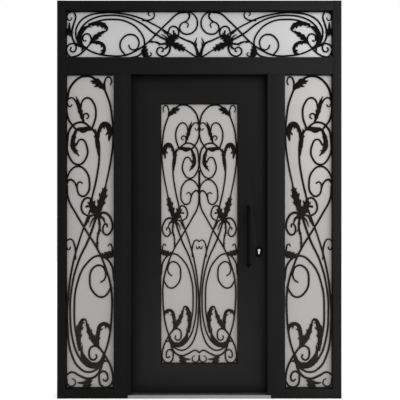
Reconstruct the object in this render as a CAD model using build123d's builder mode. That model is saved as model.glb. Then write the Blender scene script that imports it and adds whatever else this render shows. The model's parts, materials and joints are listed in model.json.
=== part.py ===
from build123d import *
from math import atan2, degrees, radians
import os

os.makedirs("parts", exist_ok=True)

# Overall size of the door set, in millimetres. X runs along the front, Y from outside to inside, Z up.
set_width = 1900
set_height = 2660
frame_depth = 130

# Faces of the fixed frame that show from outside
jamb_face = 56
head_face = 65
sill_face = 64
mullion_face = 95
transom_light_height = 313
transom_bar_face = 114

# Glazing rebate behind the front lip of every frame member
lip_depth = 32
rebate = 14
edge_cover = 11
grille_thickness = 6
sidelight_grille_bar = 13
leaf_grille_bar = 10.5
transom_grille_bar = 11.5
transom_grid_length = 206.5
glazing_tape = 2
pane_thickness = 4
pane_gap = 16
spacer_width = 12
bead_depth = 20
bead_chamfer = 5
bead_joint = 0.3

# Door lining, threshold and seal
doorway_width = 914
lining_face = 21
lining_leg = 3
stop_depth = 51
threshold_base_height = 14
nosing_height = 22
nosing_depth = 12
seal_width = 5
seal_thickness = 4
seal_setback = 5

# Door leaf, which closes behind the stop
seal_gap = 5
leaf_gap_side = 9
leaf_gap_top = 5
leaf_gap_bottom = 6
leaf_thickness = 70
skin_thickness = 3
stile_width = 204
top_rail_height = 195
bottom_rail_height = 194
window_lip = 22

# Hinges on the inside face, at the left edge: the leaf lifts on to pins that stand on the frame
hinge_inset = 240
hinge_height = 120
knuckle_radius = 10
knuckle_stand_off = 1
knuckle_gap = 1
pin_radius = 5
pin_clearance = 0.1
pin_length = 40
hinge_plate_thickness = 4
hinge_plate_width = 50
hinge_plate_clearance = 13

# Pull handles, one on each face of the leaf
pull_setback = 138
pull_z = 1082
pull_length = 424
pull_radius = 11
pull_stand_off = 55
finial_length = 30
finial_radius = 19
finial_tip_radius = 3
finial_sides = 8
post_spacing = 224
post_width = 14

# Lock cylinder and its escutcheons, the lock edge and its strike plate
lock_setback = 62
lock_z = 978
lock_cutout_width = 22
lock_cutout_height = 40
cylinder_radius = 8.5
cylinder_tail_width = 10
cylinder_height = 33
cylinder_clearance = 0.3
cylinder_proud = 2
keyway_width = 2
keyway_height = 9
keyway_depth = 8
escutcheon_width = 40
escutcheon_height = 74
escutcheon_corner = 17
escutcheon_thickness = 9
faceplate_width = 20
faceplate_height = 240
faceplate_thickness = 3
bolt_width = 12
bolt_clearance = 0.3
bolt_recess = 1
bolt_depth = 20
latch_height = 22
latch_rise = 72
deadbolt_height = 36
strike_height = 260
strike_clearance = 1

# Wall fixings through the outer jambs
fixing_radius = 5.5
fixing_spacing = 2260
fixing_inset = 12

# Places worked out from the sizes above
front_y = -frame_depth / 2
rear_y = frame_depth / 2
half_set = set_width / 2
opening_x = half_set - jamb_face
half_doorway = doorway_width / 2
lining_x = half_doorway + lining_face
leg_x = lining_x - lining_leg
mullion_x = lining_x + mullion_face
head_bottom = set_height - head_face
transom_bar_top = head_bottom - transom_light_height
transom_bar_bottom = transom_bar_top - transom_bar_face
seat_y = front_y + lip_depth
stop_y = front_y + stop_depth
glass_y = seat_y + grille_thickness + glazing_tape
glass_thickness = 2 * pane_thickness + pane_gap
leaf_front_y = stop_y + seal_thickness + seal_gap
leaf_rear_y = leaf_front_y + leaf_thickness
core_front_y = leaf_front_y + skin_thickness
core_rear_y = leaf_rear_y - skin_thickness
leaf_middle_y = (leaf_front_y + leaf_rear_y) / 2
leaf_edge_x = leg_x - leaf_gap_side
leaf_bottom = threshold_base_height + leaf_gap_bottom
leaf_top = transom_bar_bottom + rebate - leaf_gap_top
window_x = leaf_edge_x - stile_width
window_bottom = leaf_bottom + bottom_rail_height
window_top = leaf_top - top_rail_height
pull_x = leaf_edge_x - pull_setback
lock_x = leaf_edge_x - lock_setback
leaf_seat_y = leaf_front_y + window_lip
leaf_glass_y = leaf_seat_y + grille_thickness + glazing_tape
leaf_bead_y = leaf_glass_y + glass_thickness
hinge_x = -(leaf_edge_x + leaf_gap_side / 2)
hinge_y = leaf_rear_y + knuckle_radius + knuckle_stand_off
lowest_hinge = leaf_bottom + hinge_inset
highest_hinge = leaf_top - hinge_inset - hinge_height
hinge_heights = (lowest_hinge, (lowest_hinge + highest_hinge) / 2, highest_hinge)
latch_z = lock_z + latch_rise
strike_z = (latch_z + lock_z) / 2
bolts = ((latch_z, latch_height), (lock_z, deadbolt_height))


def facing(y):
    """The plane at depth y that looks out of the front, with X across and Z up."""
    return Plane.XZ.offset(-y)


def add_slab(x_span, y_span, z_span):
    """Adds a straight block that covers three spans."""
    with Locations((x_span[0], y_span[0], z_span[0])):
        Box(
            x_span[1] - x_span[0],
            y_span[1] - y_span[0],
            z_span[1] - z_span[0],
            align=(Align.MIN, Align.MIN, Align.MIN),
        )


def save(solid, name):
    """Names a finished piece and writes it to its own file."""
    solid.label = name
    export_step(solid, f"parts/{name}.step")


# Outer frame: full-height jambs, the head and the sills between them
fixing_heights = ((set_height - fixing_spacing) / 2, (set_height + fixing_spacing) / 2)
with BuildPart() as frame_jamb_left:
    add_slab((-half_set, -opening_x), (front_y, seat_y), (0, set_height))
    add_slab((-half_set, -opening_x - rebate), (seat_y, rear_y), (0, set_height))
    with BuildSketch(Plane.YZ.offset(-half_set)):
        with Locations([(rear_y - fixing_inset, z) for z in fixing_heights]):
            Circle(fixing_radius)
    extrude(amount=jamb_face, mode=Mode.SUBTRACT)
with BuildPart() as frame_jamb_right:
    add(mirror(frame_jamb_left.part, about=Plane.YZ, mode=Mode.PRIVATE))
save(frame_jamb_left.part, "frame_jamb_left")
save(frame_jamb_right.part, "frame_jamb_right")

with BuildPart() as frame_head:
    add_slab((-opening_x, opening_x), (front_y, seat_y), (head_bottom, set_height))
    add_slab(
        (-opening_x - rebate, opening_x + rebate),
        (seat_y, rear_y),
        (head_bottom + rebate, set_height),
    )
save(frame_head.part, "frame_head")

with BuildPart() as frame_sill_left:
    add_slab((-opening_x, -mullion_x), (front_y, seat_y), (0, sill_face))
    add_slab(
        (-opening_x - rebate, -mullion_x + rebate), (seat_y, rear_y), (0, sill_face - rebate)
    )
with BuildPart() as frame_sill_right:
    add(mirror(frame_sill_left.part, about=Plane.YZ, mode=Mode.PRIVATE))
save(frame_sill_left.part, "frame_sill_left")
save(frame_sill_right.part, "frame_sill_right")

# Transom bar, with a stop for the top of the leaf under it, and the mullions beside the doorway
with BuildPart() as transom_bar:
    add_slab((-opening_x, opening_x), (front_y, seat_y), (transom_bar_bottom, transom_bar_top))
    add_slab(
        (-opening_x - rebate, opening_x + rebate),
        (seat_y, rear_y),
        (transom_bar_bottom + rebate, transom_bar_top - rebate),
    )
    add_slab(
        (-leg_x, leg_x), (seat_y, stop_y), (transom_bar_bottom, transom_bar_bottom + rebate)
    )
save(transom_bar.part, "transom_bar")

with BuildPart() as mullion_left:
    add_slab((-mullion_x, -lining_x), (front_y, seat_y), (0, transom_bar_bottom))
    add_slab(
        (-mullion_x + rebate, -lining_x), (seat_y, rear_y), (0, transom_bar_bottom + rebate)
    )
with BuildPart() as mullion_right:
    add(mirror(mullion_left.part, about=Plane.YZ, mode=Mode.PRIVATE))
save(mullion_left.part, "mullion_left")
save(mullion_right.part, "mullion_right")

# Door lining: the stop that the leaf closes against and the thin leg beside the leaf's edge
with BuildPart() as door_lining_left:
    add_slab((-lining_x, -half_doorway), (front_y, seat_y), (nosing_height, transom_bar_bottom))
    add_slab((-leg_x, -half_doorway), (seat_y, stop_y), (nosing_height, transom_bar_bottom))
    add_slab(
        (-lining_x, -leg_x), (seat_y, rear_y), (nosing_height, transom_bar_bottom + rebate)
    )
with BuildPart() as door_lining_right:
    add(mirror(door_lining_left.part, about=Plane.YZ, mode=Mode.PRIVATE))
    with BuildSketch(Plane.YZ.offset(leg_x)):
        with Locations((leaf_middle_y, strike_z)):
            Rectangle(faceplate_width, strike_height)
    extrude(amount=lining_leg, mode=Mode.SUBTRACT)
save(door_lining_left.part, "door_lining_left")
save(door_lining_right.part, "door_lining_right")

with BuildPart() as strike_plate:
    with BuildSketch(Plane.YZ.offset(leg_x)):
        with Locations((leaf_middle_y, strike_z)):
            Rectangle(faceplate_width, strike_height)
        for bolt_z, bolt_height in bolts:
            with Locations((leaf_middle_y, bolt_z)):
                Rectangle(
                    bolt_width + 2 * strike_clearance,
                    bolt_height + 2 * strike_clearance,
                    mode=Mode.SUBTRACT,
                )
    extrude(amount=lining_leg)
save(strike_plate.part, "strike_plate")

# Threshold: a bright nosing in front of the lower dark base
with BuildPart() as threshold_nosing:
    add_slab((-lining_x, lining_x), (front_y, front_y + nosing_depth), (0, nosing_height))
with BuildPart() as threshold_base:
    add_slab((-lining_x, lining_x), (front_y + nosing_depth, rear_y), (0, threshold_base_height))
save(threshold_nosing.part, "threshold_nosing")
save(threshold_base.part, "threshold_base")

# Rubber seal on the back of the stops
seal_x = half_doorway + seal_setback
seal_z = transom_bar_bottom + seal_setback
seal_span = (stop_y, stop_y + seal_thickness)
with BuildPart() as door_seal:
    add_slab((-seal_x - seal_width, seal_x + seal_width), seal_span, (seal_z, seal_z + seal_width))
    for near_x in (-seal_x - seal_width, seal_x):
        add_slab((near_x, near_x + seal_width), seal_span, (nosing_height, seal_z))
save(door_seal.part, "door_seal")


def add_glass(opening, y_low):
    """Adds the two panes of a sealed unit, whose edges are covered by the lip."""
    x_low, x_high, z_low, z_high = opening
    for pane_y in (y_low, y_low + pane_thickness + pane_gap):
        add_slab(
            (x_low - edge_cover, x_high + edge_cover),
            (pane_y, pane_y + pane_thickness),
            (z_low - edge_cover, z_high + edge_cover),
        )


def add_ring(opening, cover, face_width, y_low, thickness):
    """Adds a flat four-sided ring whose outer edge lies outside an opening by the cover."""
    x_low, x_high, z_low, z_high = opening
    width = x_high - x_low + 2 * cover
    height = z_high - z_low + 2 * cover
    with Locations(((x_low + x_high) / 2, y_low, (z_low + z_high) / 2)):
        Box(width, thickness, height, align=(Align.CENTER, Align.MIN, Align.CENTER))
        Box(
            width - 2 * face_width,
            thickness,
            height - 2 * face_width,
            align=(Align.CENTER, Align.MIN, Align.CENTER),
            mode=Mode.SUBTRACT,
        )


def add_beads(opening, y_low, y_high):
    """Adds four glazing beads that fill the rebate, chamfered along their sight edge."""
    x_low, x_high, z_low, z_high = opening
    depth = (y_low, y_high)
    across = (x_low - rebate, x_high + rebate)
    upright = (z_low + bead_joint, z_high - bead_joint)
    add_slab(across, depth, (z_low - rebate, z_low))
    add_slab(across, depth, (z_high, z_high + rebate))
    add_slab((x_low - rebate, x_low), depth, upright)
    add_slab((x_high, x_high + rebate), depth, upright)


def sight_edges(beads, opening, y_high):
    """The inner front edge of each bead, beside the glass."""
    x_low, x_high, z_low, z_high = opening
    middle = ((x_low + x_high) / 2, y_high, (z_low + z_high) / 2)
    faces = beads.faces().filter_by_position(Axis.Y, y_high, y_high)
    return [face.edges().sort_by_distance(middle)[0] for face in faces]


# Fixed lights: sealed glass, the grille in front of it and the beads behind it
transom_light = (-opening_x, opening_x, transom_bar_top, head_bottom)
sidelight_left = (-opening_x, -mullion_x, sill_face, transom_bar_bottom)
sidelight_right = (mullion_x, opening_x, sill_face, transom_bar_bottom)
fixed_lights = {
    "transom": transom_light,
    "sidelight_left": sidelight_left,
    "sidelight_right": sidelight_right,
}
bead_y = glass_y + glass_thickness
for name, opening in fixed_lights.items():
    with BuildPart() as glass:
        add_glass(opening, glass_y)
    save(glass.part, f"{name}_glass")
    with BuildPart() as beads:
        add_beads(opening, bead_y, bead_y + bead_depth)
        chamfer(sight_edges(beads, opening, bead_y + bead_depth), length=bead_chamfer)
    save(beads.part, f"{name}_beads")

with BuildPart() as glass_spacers:
    for opening in fixed_lights.values():
        add_ring(opening, edge_cover, spacer_width, glass_y + pane_thickness, pane_gap)
save(glass_spacers.part, "glass_spacers")


# Scrolled grilles. The scroll is drawn once, on a grid whose origin is a light's top left corner,
# as smooth lines with bar widths that are given at equal steps along them, in plain bars.
grid_across = 43.8
grid_down = 287.6
upper_scroll_lines = {
    "arch": (
        (1, 1.15, 1, 1, 0.8),
        [(8.5, 50), (1.6, 40), (0.6, 22), (6, 7.2), (18, 0.8), (30, 6.8), (38, 21), (41.8, 40),
         (42.6, 60), (40.3, 80), (35.6, 103)],
    ),
    "shoulder leaf": ((0.4, 2.8, 1.2), [(22, 5.2), (29.4, 7), (35, 13)]),
    "left curl": (
        (0.6, 0.8, 1, 1),
        [(5, 26.8), (3, 29), (1, 26.5), (1.2, 22.5), (4.2, 20.7), (8, 23.6), (11.5, 33),
         (15.5, 43)],
    ),
    "fern": ((0.3, 1.8, 2, 1), [(8.5, 19.4), (11, 26), (12.8, 34), (15.8, 43.5)]),
    "loop": ((0.7, 1, 1, 1), [(13, 31.5), (15, 23), (19.5, 20.8), (25, 26), (26.8, 37), (23.4, 49)]),
    "upper scroll": (
        (1, 1.1, 1, 1, 0.9),
        [(23.8, 49.6), (13.5, 43.3), (4.2, 48), (0.8, 60), (2.4, 75), (10.5, 82.4), (17.8, 76.5),
         (18.5, 65.5), (13.4, 59), (8.2, 65)],
    ),
    "crescent leaf": ((1, 1.6, 3, 1, 1), [(7.8, 51), (11, 50), (15, 50.6), (19.5, 49.4), (24, 50)]),
    "slit leaf": ((1.2, 1.9, 2.2, 0.3), [(8.8, 50.5), (5.9, 59), (6.2, 67), (11.4, 74.5)]),
    "stem leaf": ((0.3, 1.4, 2, 1.2, 0.8), [(26.3, 49.5), (27.2, 55), (28.4, 62), (29.4, 74)]),
    "hook leaf": (
        (1.2, 1, 1.6, 2.6, 1.8), [(29, 58.5), (30.4, 49.5), (35.3, 45), (39.4, 50), (38.8, 60)]
    ),
    "tall stem": ((1, 1, 1), [(23.5, 49), (28.6, 58), (30, 74), (27.8, 93), (22.8, 115)]),
}
transom_centre_lines = {
    "centre stem": (
        (1, 1, 1.4, 2.4), [(22.8, 115), (26.6, 102), (29.6, 91), (34, 86.3), (42.5, 82.3)]
    ),
    "centre flame": ((0.3, 1.2), [(24.2, 84.6), (30.5, 89)]),
    "centre bow": ((0.8, 1), [(35.6, 103), (39.2, 94), (43, 84)]),
}
leaf_centre_lines = {"centre bar": ((1.35, 1.35), [(0, 73.5), (0, 102)])}
lower_scroll_lines = {
    "acanthus": ((0.5, 2.8, 3.6, 0.9), [(36.2, 101.5), (34, 109), (31.2, 119), (28.2, 129)]),
    "second scroll": (
        (0.8, 1, 1, 1, 0.7),
        [(-0.5, 97), (4, 87.4), (10.6, 83.9), (17.6, 88.2), (21, 99), (18.6, 109.5), (13.6, 111.4),
         (9.6, 103.5), (11.6, 98.3), (14.8, 99.8)],
    ),
    "long diagonal": (
        (1, 1, 1, 1),
        [(0.3, 101), (1.6, 114), (8.5, 127.5), (18, 143.5), (28.5, 160.6), (36, 178), (40.8, 197),
         (41.3, 221), (38.6, 244), (34.5, 258)],
    ),
    "small scroll": ((1, 1, 0.9), [(24, 115), (18.5, 113), (13.8, 119), (14.6, 126), (19, 129.5)]),
    "bud": ((0.8, 3, 3.4, 1.2), [(22.4, 113), (23, 118), (25, 123.5), (28.6, 130)]),
    "right scroll": (
        (1.6, 1, 1, 0.8),
        [(27.6, 130), (34.5, 126.6), (41.2, 134), (40.4, 144.5), (36, 147), (33.4, 140.5),
         (36.4, 137)],
    ),
    "drop": ((1.2, 1.1, 0.7), [(29, 129), (30.4, 139), (28.2, 151), (28.6, 161.5)]),
    "outer stem": (
        (0.8, 1, 1, 1),
        [(23.4, 120), (18, 134), (11.5, 153), (5.5, 175), (1.5, 203), (0.9, 231), (4.8, 258),
         (12, 270), (22.5, 272.5)],
    ),
    "middle stem": (
        (1.2, 1, 1, 1),
        [(27.6, 129.5), (19.8, 152), (11, 171), (4.8, 195), (3.2, 220), (5.4, 243), (11, 259),
         (18.5, 267)],
    ),
    "oval": (
        (1, 1, 1, 1),
        [(43.6, 190), (40, 173), (30.5, 166.3), (18.4, 173.5), (9.4, 193), (7, 215), (9, 240),
         (16.5, 260)],
    ),
    "side curl": ((1, 0.9, 0.7), [(8, 170), (7.2, 156.5), (3.6, 151), (-0.5, 153)]),
    "right leaf": ((0.8, 2.2, 2.4, 1.4), [(30.5, 166.5), (35.5, 166.5), (39, 165.8), (44, 163)]),
    "spiral": (
        (1, 1, 1, 0.8),
        [(41.5, 195), (33, 204.4), (24.5, 199.8), (21.2, 188), (24.5, 177.5), (31.5, 175.4),
         (35.6, 181), (34.8, 188), (31, 191)],
    ),
    "fern hook": (
        (1.2, 1.8, 2.6, 1.8, 0.4), [(12, 254), (10.8, 240), (12.4, 230.5), (15.7, 225), (18.6, 226.8)]
    ),
    "spear leaf": ((0.4, 1.6, 2.2, 0.9), [(17.6, 226), (20.8, 236), (24.7, 244), (30.5, 252)]),
    "right hook": (
        (0.8, 1.8, 1.2, 1.6, 0.4), [(29, 250.5), (28.8, 238), (32.4, 229.5), (38.5, 231), (39.8, 236.5)]
    ),
    "outer curve": ((1, 1, 1), [(29.5, 250.5), (36, 259.5), (41.4, 272), (43, 288)]),
    "lower curl": (
        (1, 1, 1, 0.8),
        [(34, 256.5), (29, 250.6), (23.5, 250), (20.6, 256), (23.6, 262.3), (27.4, 260.4),
         (26.9, 257)],
    ),
    "base leaf": (
        (0.4, 1.6, 3, 3.6, 3, 1.4),
        [(14.3, 248.5), (14, 256), (17.5, 264.5), (25, 267.5), (31, 265.5), (34.5, 257)],
    ),
    "garland": (
        (1, 1, 1.2, 1.2, 1),
        [(-0.5, 276.5), (4.6, 273.6), (12, 277), (20.5, 279.6), (28.5, 275.5), (32.6, 266)],
    ),
    "base scroll": (
        (1, 1, 1), [(32.5, 267.5), (29.8, 278), (32.5, 286.8), (38.5, 287.2), (43.4, 280)]
    ),
}
grille_border = 3
bar_stray = 3.5
width_stray = 0.4
line_steps = 150


def swell_places(widths):
    """Places along a line where its width has a peak or a waist that the bar has to show."""
    last = len(widths) - 1
    return [
        step / last
        for step in range(1, last)
        if abs(widths[step] - (widths[step - 1] + widths[step + 1]) / 2) > width_stray
    ]


def corner_places(line, widths):
    """Places along a line where its bar has a corner, so that no straight side strays too far."""
    places = [0]
    swells = swell_places(widths)
    run = 0
    turn = 0
    for step in range(1, line_steps + 1):
        here = step / line_steps
        before = (step - 1) / line_steps
        run += (line @ here - line @ before).length
        turn += radians((line % here).get_angle(line % before))
        at_swell = any(before < swell <= here for swell in swells)
        if run * turn / 8 > bar_stray or at_swell or step == line_steps:
            places.append(here)
            run = 0
            turn = 0
    return places


def width_at(widths, place):
    """A bar's width at a place along it, between the widths given at equal steps."""
    steps = place * (len(widths) - 1)
    step = min(int(steps), len(widths) - 2)
    return widths[step] + (widths[step + 1] - widths[step]) * (steps - step)


def draw_scrolls(scroll_lines, bar, corner, across, down):
    """Draws scroll lines as flat bars, with the grid laid from a corner along two directions."""
    bars = []
    for widths, points in scroll_lines.values():
        line = Spline([corner + across * x + down * y for x, y in points], mode=Mode.PRIVATE)
        near = []
        far = []
        for place in corner_places(line, widths):
            side = (line % place).rotate(Axis.Z, 90) * (bar * width_at(widths, place) / 2)
            near.append(line @ place + side)
            far.append(line @ place - side)
        bars.append(Polygon(*near, *reversed(far), align=None, mode=Mode.PRIVATE))
    add(bars)


def draw_panel(opening, growth, mode):
    """Draws a light's rectangle, grown on every side."""
    x_low, x_high, z_low, z_high = opening
    with Locations(((x_low + x_high) / 2, (z_low + z_high) / 2)):
        Rectangle(x_high - x_low + 2 * growth, z_high - z_low + 2 * growth, mode=mode)


def draw_border(opening):
    """Draws the flat ring around a grille, whose outer part lies behind the lip."""
    draw_panel(opening, edge_cover, Mode.ADD)
    draw_panel(opening, -grille_border, Mode.SUBTRACT)


def grid_steps(width, height):
    """The size of one grid step across and down a light of the given size."""
    return width / grid_across, height / grid_down


step_x, step_z = grid_steps(opening_x - mullion_x, transom_bar_bottom - sill_face)
with BuildPart() as sidelight_left_grille:
    with BuildSketch(facing(seat_y)):
        draw_border(sidelight_left)
        draw_scrolls(
            upper_scroll_lines | lower_scroll_lines,
            sidelight_grille_bar,
            Vector(-opening_x, transom_bar_bottom),
            Vector(step_x, 0),
            Vector(0, -step_z),
        )
        draw_panel(sidelight_left, edge_cover, Mode.INTERSECT)
    extrude(amount=-grille_thickness)
with BuildPart() as sidelight_right_grille:
    add(mirror(sidelight_left_grille.part, about=Plane.YZ, mode=Mode.PRIVATE))
save(sidelight_left_grille.part, "sidelight_left_grille")
save(sidelight_right_grille.part, "sidelight_right_grille")

transom_step_z = transom_light_height / grid_across
transom_step_x = opening_x / transom_grid_length
with BuildPart() as transom_grille:
    with BuildSketch(facing(seat_y)):
        draw_border(transom_light)
        draw_scrolls(
            transom_centre_lines | lower_scroll_lines,
            transom_grille_bar,
            Vector(-opening_x + grid_down * transom_step_x, head_bottom),
            Vector(0, -transom_step_z),
            Vector(-transom_step_x, 0),
        )
        mirror(about=Plane.YZ)
        draw_panel(transom_light, edge_cover, Mode.INTERSECT)
    extrude(amount=-grille_thickness)
save(transom_grille.part, "transom_grille")

# Door leaf: four core members around the window, and a skin on each side
window = (-window_x, window_x, window_bottom, window_top)
with BuildPart() as leaf_hinge_stile:
    add_slab((-leaf_edge_x, -window_x), (core_front_y, leaf_seat_y), (leaf_bottom, leaf_top))
    add_slab(
        (-leaf_edge_x, -window_x - rebate), (leaf_seat_y, core_rear_y), (leaf_bottom, leaf_top)
    )
save(leaf_hinge_stile.part, "leaf_hinge_stile")


def cut_lock_hole(y_low, y_high):
    """Cuts the plain hole for the lock, which the escutcheons cover."""
    with Locations((lock_x, y_low, lock_z)):
        Box(
            lock_cutout_width,
            y_high - y_low,
            lock_cutout_height,
            align=(Align.CENTER, Align.MIN, Align.CENTER),
            mode=Mode.SUBTRACT,
        )


with BuildPart() as leaf_lock_stile:
    add(mirror(leaf_hinge_stile.part, about=Plane.YZ, mode=Mode.PRIVATE))
    cut_lock_hole(core_front_y, core_rear_y)
    with BuildSketch(Plane.YZ.offset(leaf_edge_x)):
        with Locations((leaf_middle_y, strike_z)):
            Rectangle(faceplate_width, faceplate_height)
    extrude(amount=-faceplate_thickness, mode=Mode.SUBTRACT)
    with BuildSketch(Plane.YZ.offset(leaf_edge_x)):
        for bolt_z, bolt_height in bolts:
            with Locations((leaf_middle_y, bolt_z)):
                Rectangle(bolt_width, bolt_height)
    extrude(amount=-faceplate_thickness - bolt_depth, mode=Mode.SUBTRACT)
save(leaf_lock_stile.part, "leaf_lock_stile")

with BuildPart() as leaf_top_rail:
    add_slab((-window_x, window_x), (core_front_y, leaf_seat_y), (window_top, leaf_top))
    add_slab(
        (-window_x - rebate, window_x + rebate),
        (leaf_seat_y, core_rear_y),
        (window_top + rebate, leaf_top),
    )
with BuildPart() as leaf_bottom_rail:
    add_slab((-window_x, window_x), (core_front_y, leaf_seat_y), (leaf_bottom, window_bottom))
    add_slab(
        (-window_x - rebate, window_x + rebate),
        (leaf_seat_y, core_rear_y),
        (leaf_bottom, window_bottom - rebate),
    )
save(leaf_top_rail.part, "leaf_top_rail")
save(leaf_bottom_rail.part, "leaf_bottom_rail")

for name, y_low, growth in (
    ("leaf_outer_skin", leaf_front_y, 0),
    ("leaf_inner_skin", core_rear_y, rebate),
):
    with BuildPart() as skin:
        add_slab(
            (-leaf_edge_x, leaf_edge_x), (y_low, y_low + skin_thickness), (leaf_bottom, leaf_top)
        )
        with Locations((0, y_low, window_bottom - growth)):
            Box(
                2 * (window_x + growth),
                skin_thickness,
                window_top - window_bottom + 2 * growth,
                align=(Align.CENTER, Align.MIN, Align.MIN),
                mode=Mode.SUBTRACT,
            )
        cut_lock_hole(y_low, y_low + skin_thickness)
    save(skin.part, name)

with BuildPart() as leaf_glass:
    add_glass(window, leaf_glass_y)
save(leaf_glass.part, "leaf_glass")
with BuildPart() as leaf_spacer:
    add_ring(window, edge_cover, spacer_width, leaf_glass_y + pane_thickness, pane_gap)
save(leaf_spacer.part, "leaf_spacer")
with BuildPart() as leaf_beads:
    add_beads(window, leaf_bead_y, leaf_rear_y)
    chamfer(sight_edges(leaf_beads, window, leaf_rear_y), length=bead_chamfer)
save(leaf_beads.part, "leaf_beads")
leaf_step_x, leaf_step_z = grid_steps(window_x, window_top - window_bottom)
with BuildPart() as leaf_grille:
    with BuildSketch(facing(leaf_seat_y)):
        draw_border(window)
        draw_scrolls(
            upper_scroll_lines | leaf_centre_lines | lower_scroll_lines,
            leaf_grille_bar,
            Vector(0, window_top),
            Vector(leaf_step_x, 0),
            Vector(0, -leaf_step_z),
        )
        mirror(about=Plane.YZ)
        draw_panel(window, edge_cover, Mode.INTERSECT)
    extrude(amount=-grille_thickness)
save(leaf_grille.part, "leaf_grille")


def add_knuckle(z_low, height, plate_side):
    """Adds a barrel with the tongue that joins it to a plate on the frame (-1) or the leaf (1)."""
    tongue = hinge_plate_clearance + hinge_plate_thickness
    with BuildSketch(Plane.XY.offset(z_low)) as section:
        with Locations((hinge_x, hinge_y)):
            Circle(knuckle_radius)
        with Locations(
            (hinge_x + plate_side * tongue / 2, leaf_rear_y + hinge_plate_thickness / 2)
        ):
            Rectangle(tongue, hinge_plate_thickness)
    extrude(section.sketch, amount=height)


def add_hinge_plate(z_low, plate_side):
    """Adds the flat plate that is fixed to the frame (-1) or to the leaf (1)."""
    near_x = hinge_x + plate_side * hinge_plate_clearance
    far_x = near_x + plate_side * hinge_plate_width
    add_slab(
        (min(near_x, far_x), max(near_x, far_x)),
        (leaf_rear_y, leaf_rear_y + hinge_plate_thickness),
        (z_low, z_low + hinge_height),
    )


# Hinges: the frame half has the lower knuckle and the pin, the leaf half has the upper knuckle
knuckle_height = (hinge_height - knuckle_gap) / 2
with BuildPart() as hinge_frame_halves:
    for z_low in hinge_heights:
        add_hinge_plate(z_low, -1)
        add_knuckle(z_low, knuckle_height, -1)
with BuildPart() as hinge_leaf_halves:
    for z_low in hinge_heights:
        upper_z = z_low + knuckle_height + knuckle_gap
        add_hinge_plate(z_low, 1)
        add_knuckle(upper_z, knuckle_height, 1)
        with Locations((hinge_x, hinge_y, upper_z)):
            Cylinder(
                pin_radius + pin_clearance,
                pin_length,
                align=(Align.CENTER, Align.CENTER, Align.MIN),
                mode=Mode.SUBTRACT,
            )
with BuildPart() as hinge_pins:
    for z_low in hinge_heights:
        with Locations((hinge_x, hinge_y, z_low + knuckle_height)):
            Cylinder(pin_radius, pin_length, align=(Align.CENTER, Align.CENTER, Align.MIN))
save(hinge_frame_halves.part, "hinge_frame_halves")
save(hinge_pins.part, "hinge_pins")
save(hinge_leaf_halves.part, "hinge_leaf_halves")

# Pull handles: a round bar with an eight-sided spear point at each end, carried on two posts
finial_base = pull_length / 2 - finial_length
finial_slope = degrees(atan2(finial_radius - finial_tip_radius, finial_length))
with BuildPart() as pull_bar:
    with BuildSketch(Plane.XY.offset(finial_base)):
        RegularPolygon(finial_radius, finial_sides, major_radius=False, rotation=180 / finial_sides)
    extrude(amount=finial_length, taper=finial_slope)
    mirror(about=Plane.XY)
    Cylinder(pull_radius, 2 * finial_base)
pull_depths = (leaf_front_y - pull_stand_off, leaf_rear_y + pull_stand_off)
with BuildPart() as pull_bars:
    with Locations([(pull_x, pull_y, pull_z) for pull_y in pull_depths]):
        add(pull_bar.part)
save(pull_bars.part, "pull_bars")

with BuildPart() as pull_posts:
    post_x_span = (pull_x - post_width / 2, pull_x + post_width / 2)
    for post_z in (pull_z - post_spacing / 2, pull_z + post_spacing / 2):
        post_z_span = (post_z - post_width / 2, post_z + post_width / 2)
        add_slab(post_x_span, (leaf_front_y - pull_stand_off, leaf_front_y), post_z_span)
        add_slab(post_x_span, (leaf_rear_y, leaf_rear_y + pull_stand_off), post_z_span)
    with Locations([(pull_x, pull_y, pull_z) for pull_y in pull_depths]):
        Cylinder(pull_radius, pull_length, mode=Mode.SUBTRACT)
save(pull_posts.part, "pull_posts")

# Lock: an escutcheon on each face and the profile cylinder through the leaf
round_z = lock_z + cylinder_height / 2 - cylinder_radius
tail_z = lock_z - cylinder_height / 2 + cylinder_tail_width / 2
cylinder_reach = escutcheon_thickness + cylinder_proud


def draw_cylinder_section(clearance, mode):
    """Draws the keyhole-shaped section of the lock cylinder, grown by a clearance."""
    with Locations((lock_x, round_z)):
        Circle(cylinder_radius + clearance, mode=mode)
    with Locations((lock_x, tail_z)):
        Circle(cylinder_tail_width / 2 + clearance, mode=mode)
    with Locations((lock_x, (round_z + tail_z) / 2)):
        Rectangle(cylinder_tail_width + 2 * clearance, round_z - tail_z, mode=mode)


with BuildPart() as escutcheons:
    for plate_y in (leaf_front_y, leaf_rear_y + escutcheon_thickness):
        with BuildSketch(facing(plate_y)):
            with Locations((lock_x, lock_z)):
                RectangleRounded(escutcheon_width, escutcheon_height, escutcheon_corner)
            draw_cylinder_section(cylinder_clearance, Mode.SUBTRACT)
        extrude(amount=escutcheon_thickness)
save(escutcheons.part, "escutcheons")

with BuildPart() as lock_cylinder:
    with BuildSketch(facing(leaf_front_y - cylinder_reach)):
        draw_cylinder_section(0, Mode.ADD)
    extrude(amount=-(leaf_thickness + 2 * cylinder_reach))
    with BuildSketch(facing(leaf_front_y - cylinder_reach)):
        with Locations((lock_x, round_z)):
            Rectangle(keyway_width, keyway_height)
    extrude(amount=-keyway_depth, mode=Mode.SUBTRACT)
save(lock_cylinder.part, "lock_cylinder")

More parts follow.
